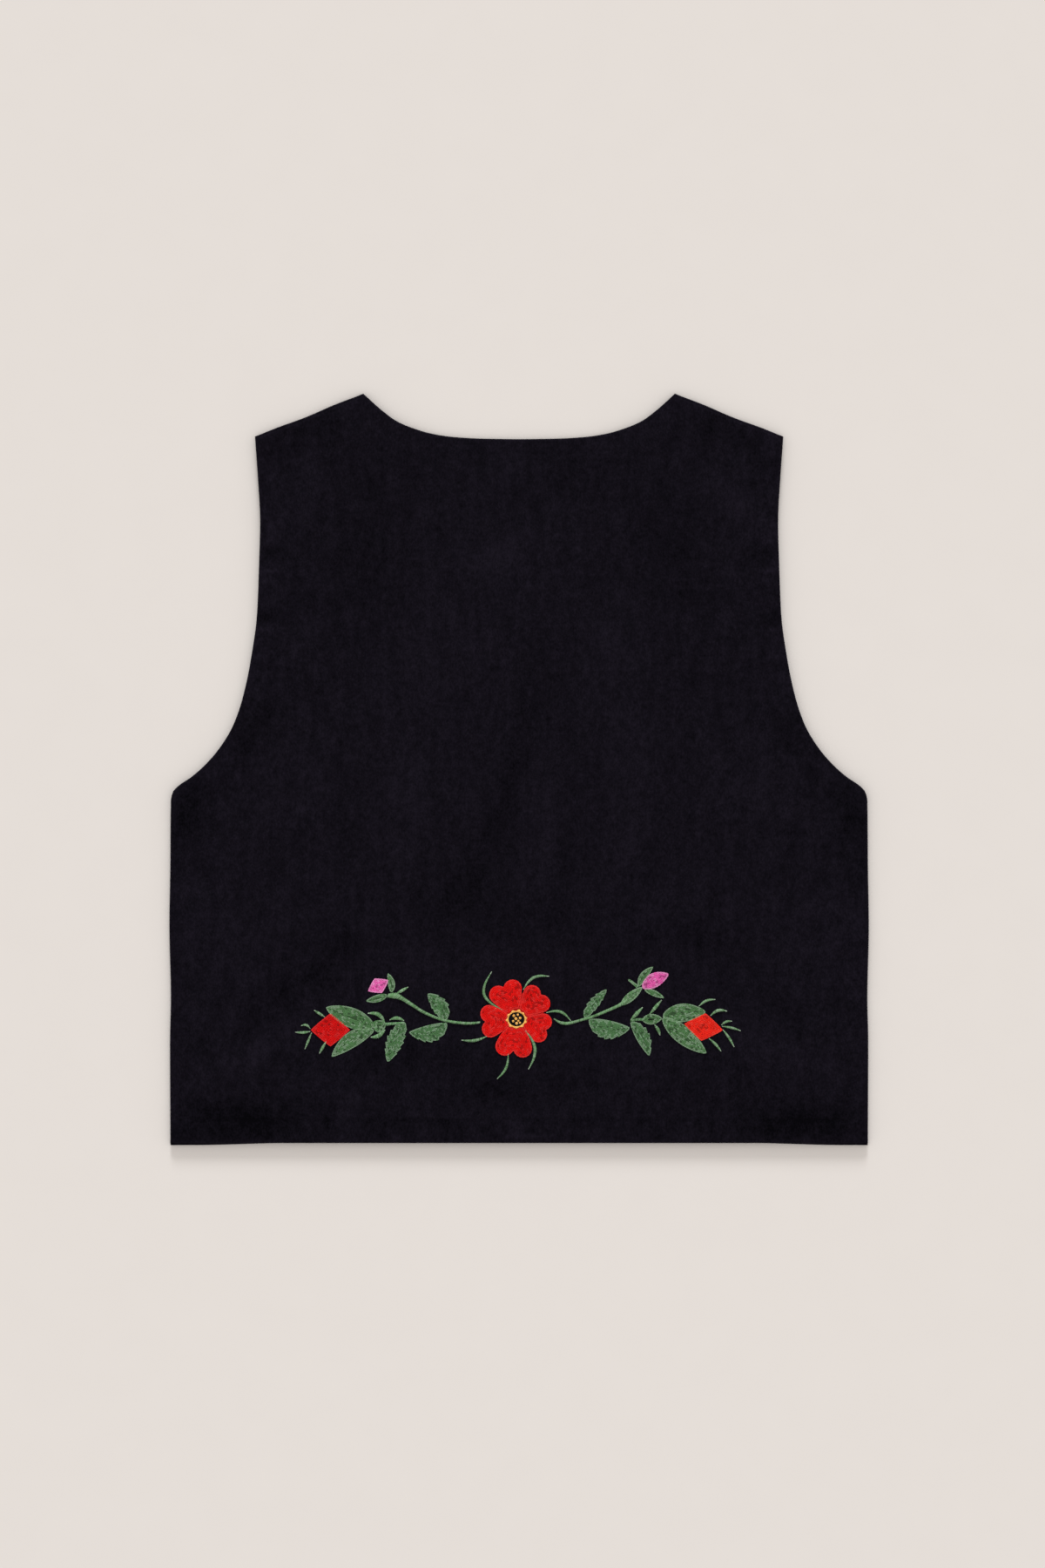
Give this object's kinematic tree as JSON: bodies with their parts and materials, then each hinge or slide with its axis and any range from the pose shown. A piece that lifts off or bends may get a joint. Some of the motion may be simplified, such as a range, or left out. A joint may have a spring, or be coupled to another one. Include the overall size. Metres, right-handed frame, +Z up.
{
  "type": "embroidered velvet vest",
  "caption": "Short sleeveless velvet vest laid flat with its back up, round neck, wide armholes, straight hem, and a spray of embroidered flowers and buds across the lower back.",
  "frame": {"origin": "middle of the outline's bounding box, on the surface that the vest lies on", "axes": "+Z up, out of the surface and out of the vest's back; +Y from the hem to the neck; +X towards the wearer's right side"},
  "size_m": [0.482, 0.518, 0.007],
  "materials": {
    "black_velvet": "velvet, matt with a soft sheen",
    "thread_red": "stranded cotton, satin and chain stitch",
    "thread_crimson": "stranded cotton, chain stitch rows",
    "thread_vermilion": "stranded cotton, chain stitch rows",
    "thread_rose": "stranded cotton, chain stitch rows",
    "thread_mauve": "stranded cotton, chain stitch rows",
    "thread_green": "stranded cotton, filled leaves and satin stems",
    "thread_sage": "stranded cotton, outlined sepals",
    "thread_yellow": "stranded cotton, short straight stitches"
  },
  "bodies": {
    "root": {"back_panel": "black_velvet", "front_left": "black_velvet", "front_right": "black_velvet", "flower": "thread_red", "flower_centre": "thread_yellow", "bud_red_l": "thread_crimson", "bud_red_r": "thread_vermilion", "bud_pink_l": "thread_rose", "bud_pink_r": "thread_mauve", "stem_left": "thread_green", "stem_right": "thread_green", "calyx_left": "thread_green", "calyx_right": "thread_green", "tendril_1": "thread_green", "tendril_2": "thread_green", "tendril_3": "thread_green", "tendril_4": "thread_green", "tendril_5": "thread_green", "tendril_6": "thread_green", "leaf_l1": "thread_green", "leaf_l2": "thread_green", "leaf_l3": "thread_green", "leaf_r1": "thread_green", "leaf_r2": "thread_green", "leaf_r3": "thread_green", "link_left": "thread_green", "link_right": "thread_green", "hook_left": "thread_green", "tail_left": "thread_green", "hook_right": "thread_green", "tail_right": "thread_green", "bract_left": "thread_green", "bract_right": "thread_green", "leaflet_pl": "thread_green", "leaflet_pr": "thread_sage", "sepal_red_l1": "thread_sage", "sepal_red_l2": "thread_sage", "sepal_red_r1": "thread_sage", "sepal_red_r2": "thread_sage", "sepal_pink_l1": "thread_sage", "sepal_pink_l2": "thread_sage", "sepal_pink_r1": "thread_sage", "sepal_pink_r2": "thread_sage"}
  },
  "joints": []
}
